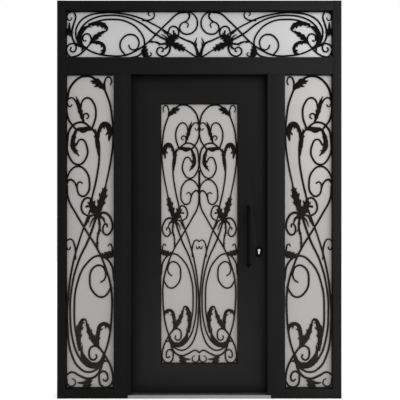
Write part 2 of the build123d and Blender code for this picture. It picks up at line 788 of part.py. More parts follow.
# Lock edge: the faceplate and the two bolts, drawn back into the leaf
with BuildPart() as lock_faceplate:
    with BuildSketch(Plane.YZ.offset(leaf_edge_x)):
        with Locations((leaf_middle_y, strike_z)):
            Rectangle(faceplate_width, faceplate_height)
        for bolt_z, bolt_height in bolts:
            with Locations((leaf_middle_y, bolt_z)):
                Rectangle(bolt_width, bolt_height, mode=Mode.SUBTRACT)
    extrude(amount=-faceplate_thickness)
with BuildPart() as lock_bolts:
    with BuildSketch(Plane.YZ.offset(leaf_edge_x - bolt_recess)):
        for bolt_z, bolt_height in bolts:
            with Locations((leaf_middle_y, bolt_z)):
                Rectangle(bolt_width - 2 * bolt_clearance, bolt_height - 2 * bolt_clearance)
    extrude(amount=-(faceplate_thickness + bolt_depth - bolt_recess))
save(lock_faceplate.part, "lock_faceplate")
save(lock_bolts.part, "lock_bolts")
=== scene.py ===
import bpy
import json
from math import pi, radians
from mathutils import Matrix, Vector


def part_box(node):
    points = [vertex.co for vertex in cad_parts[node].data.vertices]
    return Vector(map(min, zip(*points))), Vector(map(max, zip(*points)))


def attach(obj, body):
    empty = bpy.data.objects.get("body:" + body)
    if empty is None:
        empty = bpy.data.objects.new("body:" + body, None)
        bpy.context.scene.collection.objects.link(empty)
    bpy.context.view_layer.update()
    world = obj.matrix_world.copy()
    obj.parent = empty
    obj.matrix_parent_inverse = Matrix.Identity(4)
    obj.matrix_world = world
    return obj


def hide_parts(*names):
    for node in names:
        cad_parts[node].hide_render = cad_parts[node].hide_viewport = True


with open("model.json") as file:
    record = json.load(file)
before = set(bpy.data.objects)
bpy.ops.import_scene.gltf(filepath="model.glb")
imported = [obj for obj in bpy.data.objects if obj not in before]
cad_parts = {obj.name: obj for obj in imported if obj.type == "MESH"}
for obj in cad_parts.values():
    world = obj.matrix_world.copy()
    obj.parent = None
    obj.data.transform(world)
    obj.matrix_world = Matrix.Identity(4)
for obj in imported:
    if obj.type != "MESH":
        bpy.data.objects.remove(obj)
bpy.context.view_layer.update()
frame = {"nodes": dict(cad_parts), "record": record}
nodes = frame["nodes"]
scene = bpy.context.scene
leafNodes = frame["record"]["behaviour"]["bodies"]["leaf"]


def bodyOf(nodeName):
    return "leaf" if nodeName in leafNodes else "frame"


def makeActive(piece):
    bpy.ops.object.select_all(action="DESELECT")
    piece.select_set(True)
    bpy.context.view_layer.objects.active = piece


def applyPlace(piece):
    makeActive(piece)
    bpy.ops.object.transform_apply(location=True, rotation=True, scale=True)


def applyModifiers(piece):
    makeActive(piece)
    for name in [modifier.name for modifier in piece.modifiers]:
        bpy.ops.object.modifier_apply(modifier=name)


def finishPiece(piece, name, material, body):
    piece.name = name
    applyPlace(piece)
    piece.data.materials.clear()
    piece.data.materials.append(material)
    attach(piece, body)


# Materials: each pattern is read from Object coordinates, in metres

def newMaterial(name):
    material = bpy.data.materials.new(name)
    material.use_nodes = True
    tree = material.node_tree
    return material, tree, tree.nodes["Principled BSDF"]


noiseDetail = {"clouds": 4.0, "grain": 3.0, "haze": 2.0}


def noiseNode(tree, place, scale, detail, stretch=(1, 1, 1)):
    mapping = tree.nodes.new("ShaderNodeMapping")
    mapping.inputs["Scale"].default_value = stretch
    tree.links.new(place, mapping.inputs["Vector"])
    noise = tree.nodes.new("ShaderNodeTexNoise")
    noise.inputs["Scale"].default_value = scale
    noise.inputs["Detail"].default_value = detail
    tree.links.new(mapping.outputs["Vector"], noise.inputs["Vector"])
    return noise.outputs["Fac"]


def rampNode(tree, factor, stops):
    ramp = tree.nodes.new("ShaderNodeValToRGB")
    tree.links.new(factor, ramp.inputs["Fac"])
    elements = ramp.color_ramp.elements
    elements[0].position, elements[0].color = stops[0][0], (*stops[0][1], 1)
    elements[1].position, elements[1].color = stops[-1][0], (*stops[-1][1], 1)
    for position, colour in stops[1:-1]:
        elements.new(position).color = (*colour, 1)
    return ramp.outputs["Color"]


def axisFactor(tree, place, axis, low, high):
    parts = tree.nodes.new("ShaderNodeSeparateXYZ")
    tree.links.new(place, parts.inputs["Vector"])
    span = tree.nodes.new("ShaderNodeMapRange")
    span.inputs["From Min"].default_value = low
    span.inputs["From Max"].default_value = high
    tree.links.new(parts.outputs[axis], span.inputs["Value"])
    return span.outputs["Result"]


# Multiplies a colour by a tint of painted light and painted shade
def applyPaintedLight(tree, colour, tint):
    mix = tree.nodes.new("ShaderNodeMix")
    mix.data_type = "RGBA"
    mix.blend_type = "MULTIPLY"
    mix.inputs[0].default_value = 1.0       # factor; sockets 6, 7 and 2 are the ones for colours
    tree.links.new(colour, mix.inputs[6])
    tree.links.new(tint, mix.inputs[7])
    return mix.outputs[2]


def addBump(tree, shader, height, strength, distance):
    bump = tree.nodes.new("ShaderNodeBump")
    bump.inputs["Strength"].default_value = strength
    bump.inputs["Distance"].default_value = distance
    tree.links.new(height, bump.inputs["Height"])
    tree.links.new(bump.outputs["Normal"], shader.inputs["Normal"])


def addRoughness(tree, shader, factor, low, high):
    span = tree.nodes.new("ShaderNodeMapRange")
    span.inputs["To Min"].default_value = low
    span.inputs["To Max"].default_value = high
    tree.links.new(factor, span.inputs["Value"])
    tree.links.new(span.outputs["Result"], shader.inputs["Roughness"])


def finishMaterial(name, look):
    material, tree, shader = newMaterial(name)
    place = tree.nodes.new("ShaderNodeTexCoord").outputs["Object"]
    clouds = noiseNode(
        tree, place, look["cloudScale"], noiseDetail["clouds"], look.get("stretch", (1, 1, 1)))
    colour = rampNode(tree, clouds, look["colours"])
    # The optional rise is painted light: a tint along one axis that lightens or darkens the colour
    # where light and shade fall
    if "rise" in look:
        rise = look["rise"]
        level = axisFactor(tree, place, rise["axis"], rise["low"], rise["high"])
        colour = applyPaintedLight(tree, colour, rampNode(tree, level, rise["paintedLightTints"]))
    tree.links.new(colour, shader.inputs["Base Color"])
    grain = noiseNode(
        tree, place, look["grainScale"], noiseDetail["grain"], look.get("grainStretch", (1, 1, 1)))
    addRoughness(tree, shader, clouds, *look["roughness"])
    addBump(tree, shader, grain, look["bump"], look["bumpDepth"])
    shader.inputs["Metallic"].default_value = look.get("metallic", 0.0)
    shader.inputs["Specular IOR Level"].default_value = look.get("specular", 0.5)
    return material


framePaint = finishMaterial("frame_powder_coat", {
    "cloudScale": 2.2,
    "colours": [(0.3, (0.0088, 0.0088, 0.0092)), (0.7, (0.0106, 0.0106, 0.011))],
    # painted light: darker on the left, lighter towards the right where the key light falls
    "rise": {
        "axis": "X", "low": -0.95, "high": 0.95,
        "paintedLightTints": [(0.0, (0.3, 0.3, 0.3)), (1.0, (1.05, 1.05, 1.05))],
    },
    "grainScale": 900.0, "bump": 0.25, "bumpDepth": 0.0002,
    "roughness": (0.5, 0.6), "specular": 0.08,
})
leafPaint = finishMaterial("leaf_powder_coat", {
    "cloudScale": 1.6,
    "colours": [(0.3, (0.0072, 0.0072, 0.0076)), (0.7, (0.009, 0.009, 0.0094))],
    # painted light: much lighter at the bottom, painted shade across the middle and top
    "rise": {
        "axis": "Z", "low": 0.1, "high": 2.2,
        "paintedLightTints": [(0.0, (1.9, 1.9, 1.9)), (0.5, (0.65, 0.65, 0.65)), (1.0, (0.8, 0.8, 0.8))],
    },
    "grainScale": 900.0, "bump": 0.25, "bumpDepth": 0.0002,
    "roughness": (0.5, 0.6), "specular": 0.08,
})
grillePaint = finishMaterial("grille_bronze_black_painted_light", {
    "cloudScale": 9.0,
    "colours": [(0.35, (0.0065, 0.0062, 0.006)), (0.65, (0.0105, 0.0096, 0.009))],
    # painted light: brownish floor reflection painted at the bottom, painted shade darkening the
    # top
    "rise": {
        "axis": "Z", "low": 0.1, "high": 2.3,
        "paintedLightTints": [(0.0, (2.6, 2.2, 2.0)), (0.5, (1.1, 1.0, 0.95)), (1.0, (0.15, 0.15, 0.15))],
    },
    "grainScale": 260.0, "bump": 0.5, "bumpDepth": 0.0006,
    "roughness": (0.42, 0.6), "specular": 0.05,
})
handlePaint = finishMaterial("handle_black", {
    "cloudScale": 30.0,
    "colours": [(0.3, (0.0012, 0.0012, 0.0016)), (0.7, (0.0024, 0.0024, 0.003))],
    "grainScale": 700.0, "bump": 0.2, "bumpDepth": 0.0002,
    "roughness": (0.32, 0.45), "specular": 0.03,
})
nickelFinish = finishMaterial("satin_nickel", {
    "cloudScale": 60.0, "colours": [(0.3, (0.50, 0.49, 0.475)), (0.7, (0.60, 0.59, 0.57))],
    "grainScale": 400.0, "grainStretch": (1, 1, 12), "bump": 0.15, "bumpDepth": 0.0001,
    "roughness": (0.22, 0.34), "metallic": 1.0,
})
thresholdFinish = finishMaterial("threshold_mill_aluminium", {
    "cloudScale": 8.0, "colours": [(0.3, (0.25, 0.25, 0.25)), (0.7, (0.29, 0.29, 0.29))],
    "stretch": (0.3, 1, 1), "grainScale": 300.0, "grainStretch": (0.05, 1, 1),
    "bump": 0.3, "bumpDepth": 0.0002, "roughness": (0.35, 0.5), "metallic": 0.25,
})
thresholdDark = finishMaterial("threshold_dark_anodised", {
    "cloudScale": 8.0, "colours": [(0.3, (0.05, 0.05, 0.052)), (0.7, (0.07, 0.07, 0.073))],
    "stretch": (0.3, 1, 1), "grainScale": 300.0, "grainStretch": (0.05, 1, 1),
    "bump": 0.3, "bumpDepth": 0.0002, "roughness": (0.4, 0.55), "metallic": 0.3,
})
rubberFinish = finishMaterial("seal_rubber_black", {
    "cloudScale": 40.0, "colours": [(0.3, (0.006, 0.006, 0.006)), (0.7, (0.010, 0.010, 0.010))],
    "grainScale": 500.0, "bump": 0.3, "bumpDepth": 0.0003,
    "roughness": (0.7, 0.85), "specular": 0.3,
})
spacerFinish = finishMaterial("spacer_aluminium", {
    "cloudScale": 30.0, "colours": [(0.3, (0.45, 0.45, 0.46)), (0.7, (0.55, 0.55, 0.56))],
    "grainScale": 500.0, "bump": 0.2, "bumpDepth": 0.0001,
    "roughness": (0.35, 0.5), "metallic": 0.8,
})


satinGlass = {
    "cloudScale": 1.1, "stretch": (1, 1, 0.35), "grainScale": 220.0, "bump": 0.08,
    "bumpDepth": 0.0002, "roughness": (0.12, 0.2), "transmission": 0.12, "ior": 1.45,
    "specular": 0.4,
}


def obscuredGlass(name, look):
    material, tree, shader = newMaterial(name)
    place = tree.nodes.new("ShaderNodeTexCoord").outputs["Object"]
    clouds = noiseNode(
        tree, place, satinGlass["cloudScale"], noiseDetail["haze"], satinGlass["stretch"])
    colour = rampNode(tree, clouds, look["colours"])
    # The height tint is painted light: reflection and shade on the glass, set per pane
    level = axisFactor(tree, place, "Z", look["low"], look["high"])
    colour = applyPaintedLight(tree, colour, rampNode(tree, level, look["paintedLightTints"]))
    tree.links.new(colour, shader.inputs["Base Color"])
    grain = noiseNode(tree, place, satinGlass["grainScale"], noiseDetail["grain"])
    addRoughness(tree, shader, clouds, *satinGlass["roughness"])
    addBump(tree, shader, grain, satinGlass["bump"], satinGlass["bumpDepth"])
    shader.inputs["Transmission Weight"].default_value = satinGlass["transmission"]
    shader.inputs["IOR"].default_value = satinGlass["ior"]
    shader.inputs["Specular IOR Level"].default_value = satinGlass["specular"]
    return material


transomGlass = obscuredGlass("transom_satin_glass", {
    "colours": [(0.3, (0.57, 0.57, 0.57)), (0.7, (0.60, 0.60, 0.60))],
    # painted shade: slightly darker towards the top
    "low": 2.28, "high": 2.6, "paintedLightTints": [(0.0, (1, 1, 1)), (1.0, (0.97, 0.97, 0.97))],
})
lowerGlass = obscuredGlass("sidelight_satin_glass", {
    "colours": [(0.3, (0.465, 0.456, 0.452)), (0.7, (0.50, 0.49, 0.485))],
    # painted reflection: lighter towards the top, a little darker towards the bottom
    "low": 0.06, "high": 2.2,
    "paintedLightTints": [
        (0.0, (0.96, 0.945, 0.945)), (0.45, (0.98, 0.975, 0.97)), (1.0, (1.02, 1.01, 0.995))],
})
print("materials ready")


# Frame, leaf and fittings: the CAD nodes with eased arrises
arrisWidth = {"frame": 0.0012, "leaf": 0.0010, "fitting": 0.0005, "plate": 0.00025}
arrisStyle = {
    "segments": 2, "sharpFrom": radians(40), "mergeWithin": 0.00001, "flatWithin": radians(0.5),
}
smoothBelow = radians(35)


def easedNode(nodeName, material, width):
    original = nodes[nodeName]
    piece = bpy.data.objects.new(nodeName + "_eased", original.data.copy())
    scene.collection.objects.link(piece)
    makeActive(piece)
    bpy.ops.object.mode_set(mode="EDIT")
    bpy.ops.mesh.select_all(action="SELECT")
    bpy.ops.mesh.remove_doubles(threshold=arrisStyle["mergeWithin"])
    bpy.ops.mesh.dissolve_limited(angle_limit=arrisStyle["flatWithin"])
    bpy.ops.object.mode_set(mode="OBJECT")
    arris = piece.modifiers.new("arris", "BEVEL")
    arris.width = width
    arris.segments = arrisStyle["segments"]
    arris.limit_method = "ANGLE"
    arris.angle_limit = arrisStyle["sharpFrom"]
    arris.use_clamp_overlap = True
    applyModifiers(piece)
    bpy.ops.object.shade_smooth_by_angle(angle=smoothBelow)
    finishPiece(piece, nodeName + "_eased", material, bodyOf(nodeName))
    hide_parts(nodeName)


frameMembers = (
    "frame_jamb_left", "frame_jamb_right", "frame_head", "frame_sill_left", "frame_sill_right",
    "transom_bar", "mullion_left", "mullion_right", "door_lining_left", "door_lining_right",
    "transom_beads", "sidelight_left_beads", "sidelight_right_beads",
)
easedNodes = (
    (frameMembers, framePaint, "frame"),
    (("leaf_outer_skin", "leaf_inner_skin", "leaf_beads"), leafPaint, "leaf"),
    (("escutcheons", "pull_posts"), handlePaint, "leaf"),
    (("hinge_frame_halves", "hinge_leaf_halves"), framePaint, "fitting"),
    (("pull_bars",), handlePaint, "fitting"),
    (("lock_cylinder",), nickelFinish, "plate"),
    (("threshold_nosing",), thresholdFinish, "frame"),
    (("threshold_base",), thresholdDark, "frame"),
    (("lock_faceplate", "strike_plate"), nickelFinish, "plate"),
)
for nodeNames, material, width in easedNodes:
    for nodeName in nodeNames:
        easedNode(nodeName, material, arrisWidth[width])
print("frame, leaf and fittings eased")

keptFinishes = {
    "door_seal": rubberFinish, "glass_spacers": spacerFinish, "leaf_spacer": spacerFinish,
    "transom_glass": transomGlass, "sidelight_left_glass": lowerGlass,
    "sidelight_right_glass": lowerGlass, "leaf_glass": lowerGlass,
    "leaf_hinge_stile": leafPaint, "leaf_lock_stile": leafPaint,
    "leaf_top_rail": leafPaint, "leaf_bottom_rail": leafPaint,
    "hinge_pins": nickelFinish, "lock_bolts": nickelFinish,
}
for nodeName, material in keptFinishes.items():
    nodes[nodeName].data.materials.clear()
    nodes[nodeName].data.materials.append(material)
print("kept nodes finished")


# Scroll grilles: smooth tapering bars with rounded sides instead of the CAD grilles' flat ones.
# Each stroke has its widths, in bars, and its points on a grid that covers a sidelight's pane or
# half of a wider one.
scrollGrid = {"across": 43.8, "down": 287.6, "transomLength": 206.5}
upperScroll = {
    "arch": ((1, 1.15, 1, 1, 0.8), [
        (8.5, 50), (1.6, 40), (0.6, 22), (6, 7.2), (18, 0.8), (30, 6.8), (38, 21), (41.8, 40),
        (42.6, 60), (40.3, 80), (35.6, 103)]),
    "shoulderLeaf": ((0.6, 3.4, 1.4), [(22, 5.2), (29.2, 7.4), (35, 13)]),
    "cornerTendril": ((1, 0.8, 0.6), [(35.2, 13), (35.3, 5), (38.5, 1.5), (41.2, 5.5), (40, 9)]),
    "leftCurl": ((0.6, 0.8, 1, 1), [
        (5, 26.8), (3, 29), (1, 26.5), (1.2, 22.5), (4.2, 20.7), (8, 23.6), (11.5, 33),
        (15.5, 43)]),
    "fern": ((0.4, 1.7, 2.1, 1.1), [(8.5, 19.4), (11, 26), (12.8, 34), (15.8, 43.5)]),
    "loop": ((0.7, 1, 1, 1), [
        (13, 31.5), (15, 23), (19.5, 20.8), (25, 26), (26.8, 37), (23.4, 49)]),
    "smallCurl": ((1, 0.8, 0.7), [(15.6, 43), (15, 38), (18, 35.2), (20.2, 38), (18.2, 40.2)]),
    "upperScroll": ((1, 1.1, 1, 1, 0.9), [
        (23.8, 49.6), (13.5, 43.3), (4.2, 48), (0.8, 60), (2.4, 75), (10.5, 82.4), (17.8, 76.5),
        (18.5, 65.5), (13.4, 59), (8.2, 65)]),
    "crescentLeaf": ((1, 2.2, 3.4, 2.2, 1), [
        (7.8, 51), (11, 49.8), (15, 50.4), (19.5, 49.4), (24, 50)]),
    "slitLeaf": ((1.3, 2.2, 2.5, 0.5), [(8.8, 50.5), (5.9, 59), (6.2, 67), (11.4, 74.5)]),
    "tallStem": ((1, 1, 1), [(23.5, 49), (28.6, 58), (30, 74), (27.8, 93), (22.8, 115)]),
    "stemLeaf": ((0.4, 1.8, 2.5, 1.6, 0.9), [(26.3, 49.5), (27.2, 55), (28.4, 62), (29.4, 74)]),
    "hookLeaf": ((1.2, 1.6, 2.9, 2.9, 0.8), [
        (29, 58.5), (30.4, 49.5), (35.3, 45), (39.4, 50), (38.8, 60.5)]),
}
transomCentre = {
    "centreStem": ((1, 1, 1.4, 2.2), [
        (22.8, 115), (26.6, 102), (29.6, 91), (34, 86.3), (42.5, 82.3)]),
    "centreFlame": ((0.3, 1.4), [(24.2, 84.6), (30.5, 89)]),
    "centreBow": ((0.8, 1), [(35.6, 103), (39.2, 94), (43, 84)]),
    "centreTip": ((0.3, 1.3), [(28.6, 84.8), (33.5, 86.6)]),
}
leafCentre = {"centreBar": ((1.35, 1.35), [(0, 73.5), (0, 102)])}
lowerScroll = {
    "acanthus": ((0.6, 2.9, 3.6, 2.8, 1.2), [(36.2, 101.5), (34, 109), (31.2, 119), (28.2, 129)]),
    "secondScroll": ((0.8, 1, 1, 1, 0.7), [
        (-0.5, 97), (4, 87.4), (10.6, 83.9), (17.6, 88.2), (21, 99), (18.6, 109.5), (13.6, 111.4),
        (9.6, 103.5), (11.6, 98.3), (14.8, 99.8)]),
    "sideHook": ((1.4, 1, 0.8), [(-0.5, 100), (3, 96.2), (7, 98.4), (9.6, 104.5)]),
    "longDiagonal": ((1, 1, 1, 1), [
        (0.3, 101), (1.6, 114), (8.5, 127.5), (18, 143.5), (28.5, 160.6), (36, 178), (40.8, 197),
        (41.3, 221), (38.6, 244), (34.5, 258)]),
    "smallScroll": ((1, 1, 0.9), [(24, 115), (18.5, 113), (13.8, 119), (14.6, 126), (19, 129.5)]),
    "bud": ((0.8, 3.2, 3.8, 1.6), [(22.4, 113), (23, 118), (25, 123.5), (28.6, 130)]),
    "budPoint": ((1.2, 1, 0.6), [(17.4, 121.2), (20.5, 120.8), (24, 123)]),
    "knot": ((1.8, 3.4, 1.8), [(25, 128), (28.5, 129.5), (32, 130.8)]),
    "knotLeaf": ((0.3, 1.5, 0.8), [(35.4, 138), (33.5, 132), (30, 129.5)]),
    "leftTendril": ((0.9, 0.8, 1.1, 0.4), [(27.5, 128.5), (22.5, 129.3), (20, 133), (17.5, 139)]),
    "innerTendril": ((1, 0.9, 0.4), [(27, 130.5), (24, 133), (21, 140)]),
    "rightScroll": ((1.6, 1, 1, 0.8), [
        (27.6, 130), (34.5, 126.6), (41.2, 134), (40.4, 144.5), (36, 147), (33.4, 140.5),
        (36.4, 137), (37.4, 140.2)]),
    "drop": ((1.2, 1.1, 0.7), [(29, 129), (30.4, 139), (28.2, 151), (28.6, 161.5)]),
    "dropLobe": ((0.3, 0.9), [(32, 144.6), (30, 140)]),
    "outerStem": ((0.8, 1, 1, 1), [
        (23.4, 120), (18, 134), (11.5, 153), (5.5, 175), (1.5, 203), (0.9, 231), (4.8, 258),
        (12, 270), (20.5, 273.6), (32.5, 268)]),
    "middleStem": ((1.2, 1, 1, 1), [
        (27.6, 129.5), (19.8, 152), (11, 171), (4.8, 195), (3.2, 220), (5.4, 243), (11, 259),
        (18, 267), (26, 269)]),
    "oval": ((1, 1, 1, 1), [
        (43.6, 190), (40, 173), (30.5, 166.3), (18.4, 173.5), (9.4, 193), (7, 215), (9, 240),
        (15, 257), (24, 267)]),
    "sideCurl": ((1, 0.9, 0.7), [(8, 170), (7.2, 156.5), (3.6, 151), (-0.5, 153)]),
    "sideBarb": ((0.8, 0.6), [(-0.5, 158), (2.2, 160.6), (3.6, 158)]),
    "rightBarb": ((1, 0.8, 0.5), [(41.6, 165), (41.4, 157.5), (39.6, 155.5), (38, 157.8)]),
    "rightLeaf": ((1, 2.8, 3.2, 2.2), [(30.5, 166.5), (35.5, 166.5), (39, 165.8), (44, 163)]),
    "spiral": ((1, 1, 1, 0.8), [
        (41.5, 195), (33, 204.4), (24.5, 199.8), (21.2, 188), (24.5, 177.5), (31.5, 175.4),
        (35.6, 181), (34.8, 188), (31, 191)]),
    "fernHook": ((1.4, 2.2, 3.0, 2.4, 0.6), [
        (12, 254), (10.8, 240), (12.4, 230.5), (15.7, 225), (18.6, 226.8)]),
    "spearLeaf": ((0.5, 2.2, 2.8, 1.1), [(17.6, 226), (20.8, 236), (24.7, 244), (30.5, 252)]),
    "rightHook": ((1, 1.8, 2.2, 1.8, 2.3, 0.6), [
        (29, 250.5), (28.8, 238), (32.4, 229.5), (38.5, 231), (39.8, 236.5)]),
    "outerCurve": ((1, 1, 1), [(29.5, 250.5), (36, 259.5), (41.4, 272), (43, 288)]),
    "lowerCurl": ((1, 1, 1, 0.8), [
        (34, 256.5), (29, 250.6), (23.5, 250), (20.6, 256), (23.6, 262.3), (27.4, 260.4),
        (26.9, 257)]),
    "baseLeaf": ((0.4, 1.6, 3, 3.4, 2.8, 1.4), [
        (14.3, 248.5), (14, 256), (17.5, 264.5), (25, 267.5), (31, 265.5), (34.5, 257)]),
    "baseLobe": ((0.4, 2), [(37.4, 264.2), (32.5, 262)]),
    "garland": ((1, 1, 1.2, 1.2, 1), [
        (-0.5, 276.5), (4.6, 273.6), (12, 277), (20.5, 279.6), (28.5, 275.5), (32.6, 266)]),
    "garlandLeaf": ((1.6, 3, 3.4), [(21.5, 279), (19.8, 283), (17, 288)]),
    "garlandLobe": ((1, 1.6, 0.6), [(20, 281.5), (14.5, 283.5), (10, 283.3)]),
    "cornerCurl": ((1, 0.8, 0.5), [
        (-0.3, 279), (2, 286), (7.2, 285.4), (7.8, 281.5), (5, 279.4)]),
    "baseScroll": ((1, 1, 1), [
        (32.5, 267.5), (29.8, 278), (32.5, 286.4), (38.5, 286.8), (43.4, 280)]),
    "baseSpiral": ((1, 1, 0.8), [
        (30.4, 274.5), (34, 272.8), (37.6, 277), (36, 281.8), (33.2, 280)]),
}

lobed = {       # pointed lobes on each side of a leaf
    "shoulderLeaf": 3, "fern": 4, "slitLeaf": 3, "stemLeaf": 2, "hookLeaf": 3, "acanthus": 4,
    "bud": 2, "rightLeaf": 3, "fernHook": 4, "spearLeaf": 4, "rightHook": 3, "garlandLeaf": 2,
    "drop": 3, "leftTendril": 2,
}
lobeStyle = {
    "first": 0.8, "spare": 0.6,     # spacing along the leaf, in lobes
    "lookAhead": 0.12, "leastWidth": 1.2,
    "knee": (0.36, 0.05), "tip": (0.66, 0.5),       # aside and towards the leaf's tip
    "taper": (0.5, 0.42, 0.1),      # a lobe's widths at its foot, knee and tip
}
scrollStyle = {
    "sidelightBar": 0.0132, "leafBar": 0.0104, "transomBar": 0.0114,        # width of a plain bar
    "thickness": 0.0062, "edgeRound": 0.0011, "resolution": 6, "sides": 2,
    "smoothBelow": radians(50),
    "edgeCover": 0.011, "scrollCover": 0.008,       # of border and scrolls, behind the lip
    "borderShow": 0.003, "borderDepth": 0.9,        # in sight, and as a share of the thickness
}


def widthAlong(widths, share):
    steps = min(share, 0.9999) * (len(widths) - 1)      # the end counts into the last run
    step = int(steps)
    return widths[step] + (widths[step + 1] - widths[step]) * (steps - step)


def lengthShares(points):
    runs = [0.0]
    for first, second in zip(points, points[1:]):
        runs.append(runs[-1] + (second - first).length)
    return [run / runs[-1] for run in runs]


def pointAlong(points, share):
    runs = lengthShares(points)
    for step in range(len(points) - 1):
        if share <= runs[step + 1]:
            part = (share - runs[step]) / (runs[step + 1] - runs[step])
            return points[step].lerp(points[step + 1], part)
    return points[-1]


def lobesAlong(points, widths, bar, count):
    if widths[0] > widths[-1]:      # a leaf's tip is its narrow end
        points, widths = points[::-1], widths[::-1]
    lobes = []
    for step in range(count):
        share = (step + lobeStyle["first"]) / (count + lobeStyle["spare"])
        foot = pointAlong(points, share)
        ahead = pointAlong(points, max(share - lobeStyle["lookAhead"], 0.0))
        toTip = (ahead - foot).normalized()
        width = max(widthAlong(widths, share), lobeStyle["leastWidth"])
        for side in (-1, 1):
            out = Vector((-toTip.z, 0, toTip.x)) * side
            knee, tip = [
                foot + bar * width * (aside * out + along * toTip)
                for aside, along in (lobeStyle["knee"], lobeStyle["tip"])]
            lobes.append(([foot, knee, tip], [width * part for part in lobeStyle["taper"]]))
    return lobes


def addStroke(curve, points, widths, bar):
    spline = curve.splines.new("BEZIER")
    spline.bezier_points.add(len(points) - 1)
    for knot, place, share in zip(spline.bezier_points, points, lengthShares(points)):
        knot.co = place
        knot.handle_left_type = knot.handle_right_type = "AUTO"
        knot.radius = bar * widthAlong(widths, share) / 2
    spline.resolution_u = scrollStyle["resolution"]


def pressScrolls(mesh, pane, middle, half):
    for vertex in mesh.vertices:        # the round tube is pressed to the plate's thickness
        depth = vertex.co.y
        pressed = half * abs(depth) / (abs(depth) + scrollStyle["edgeRound"])
        vertex.co.y = middle + (pressed if depth > 0 else -pressed)
        vertex.co.x = min(max(vertex.co.x, pane[0]), pane[1])
        vertex.co.z = min(max(vertex.co.z, pane[2]), pane[3])


def scrollGrille(nodeName, lines, bar, pane, places):
    curve = bpy.data.curves.new(nodeName + "_scrolls", "CURVE")
    curve.dimensions = "3D"
    curve.bevel_depth = 1.0     # times each point's radius
    curve.bevel_resolution = scrollStyle["sides"]
    curve.use_fill_caps = True
    curve.use_radius = True
    for toPlace in places:
        for name, (widths, marks) in lines.items():
            points = [Vector(toPlace(*mark)) for mark in marks]
            addStroke(curve, points, widths, bar)
            for lobe, lobeWidths in lobesAlong(points, widths, bar, lobed.get(name, 0)):
                addStroke(curve, lobe, lobeWidths, bar)
    piece = bpy.data.objects.new(nodeName + "_scrolls", curve)
    scene.collection.objects.link(piece)
    makeActive(piece)
    bpy.ops.object.convert(target="MESH")
    piece = bpy.context.object
    low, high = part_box(nodeName)
    middle = (low[1] + high[1]) / 2
    half = scrollStyle["thickness"] / 2
    pressScrolls(piece.data, growPane(pane, scrollStyle["scrollCover"]), middle, half)
    bpy.ops.object.shade_smooth_by_angle(angle=scrollStyle["smoothBelow"])
    cover = scrollStyle["edgeCover"]
    rise = half * scrollStyle["borderDepth"]
    border = flatRing(
        growPane(pane, cover), cover + scrollStyle["borderShow"], middle - rise, middle + rise)
    makeActive(piece)
    border.select_set(True)
    bpy.ops.object.join()
    finishPiece(piece, nodeName + "_scrolls", grillePaint, bodyOf(nodeName))
    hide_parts(nodeName)


ringEasing = 0.2


def flatRing(outer, width, front, back):
    bpy.ops.mesh.primitive_plane_add(size=1, location=(0, 0, 0), rotation=(pi / 2, 0, 0))
    ring = bpy.context.object
    ring.scale = (outer[1] - outer[0], outer[3] - outer[2], 1)
    ring.location = ((outer[0] + outer[1]) / 2, front, (outer[2] + outer[3]) / 2)
    applyPlace(ring)
    bpy.ops.object.mode_set(mode="EDIT")
    bpy.ops.mesh.select_all(action="SELECT")
    bpy.ops.mesh.inset(thickness=width, use_even_offset=True)
    bpy.ops.mesh.delete(type="FACE")
    bpy.ops.mesh.select_all(action="SELECT")
    bpy.ops.mesh.extrude_region_move(TRANSFORM_OT_translate={"value": (0, back - front, 0)})
    bpy.ops.mesh.select_all(action="SELECT")
    bpy.ops.mesh.normals_make_consistent(inside=False)
    bpy.ops.object.mode_set(mode="OBJECT")
    edge = ring.modifiers.new("edge", "BEVEL")
    edge.width = min(width, back - front) * ringEasing
    edge.segments = 2
    applyModifiers(ring)
    bpy.ops.object.shade_smooth_by_angle(angle=smoothBelow)
    return ring


def paneOf(nodeName):       # the opening inside the lip: left, right, bottom, top
    low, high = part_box(nodeName)
    return growPane([low[0], high[0], low[2], high[2]], -scrollStyle["edgeCover"])


def growPane(pane, by):
    return [pane[0] - by, pane[1] + by, pane[2] - by, pane[3] + by]


def halvesOf(pane):
    middle = (pane[0] + pane[1]) / 2
    return [pane[0], middle, pane[2], pane[3]], [middle, pane[1], pane[2], pane[3]]


def fromSide(pane, step, mirrored):     # a mirrored half is drawn from its right side
    return (pane[1], -step) if mirrored else (pane[0], step)


def uprightPlace(pane, mirrored):
    start, stepX = fromSide(pane, (pane[1] - pane[0]) / scrollGrid["across"], mirrored)
    stepZ = (pane[3] - pane[2]) / scrollGrid["down"]
    return lambda across, down: (start + across * stepX, 0, pane[3] - down * stepZ)


def lyingPlace(pane, mirrored):
    start, stepX = fromSide(pane, (pane[1] - pane[0]) / scrollGrid["transomLength"], mirrored)
    stepZ = (pane[3] - pane[2]) / scrollGrid["across"]
    far = scrollGrid["down"]
    return lambda across, down: (start + (far - down) * stepX, 0, pane[3] - across * stepZ)


for nodeName, mirrored in (("sidelight_left_grille", False), ("sidelight_right_grille", True)):
    pane = paneOf(nodeName)
    scrollGrille(
        nodeName, upperScroll | lowerScroll, scrollStyle["sidelightBar"], pane,
        [uprightPlace(pane, mirrored)])
pane = paneOf("leaf_grille")
leftHalf, rightHalf = halvesOf(pane)
scrollGrille(
    "leaf_grille", upperScroll | leafCentre | lowerScroll, scrollStyle["leafBar"], pane,
    [uprightPlace(rightHalf, False), uprightPlace(leftHalf, True)])
pane = paneOf("transom_grille")
leftHalf, rightHalf = halvesOf(pane)
scrollGrille(
    "transom_grille", transomCentre | lowerScroll, scrollStyle["transomBar"], pane,
    [lyingPlace(leftHalf, False), lyingPlace(rightHalf, True)])
print("grilles made")


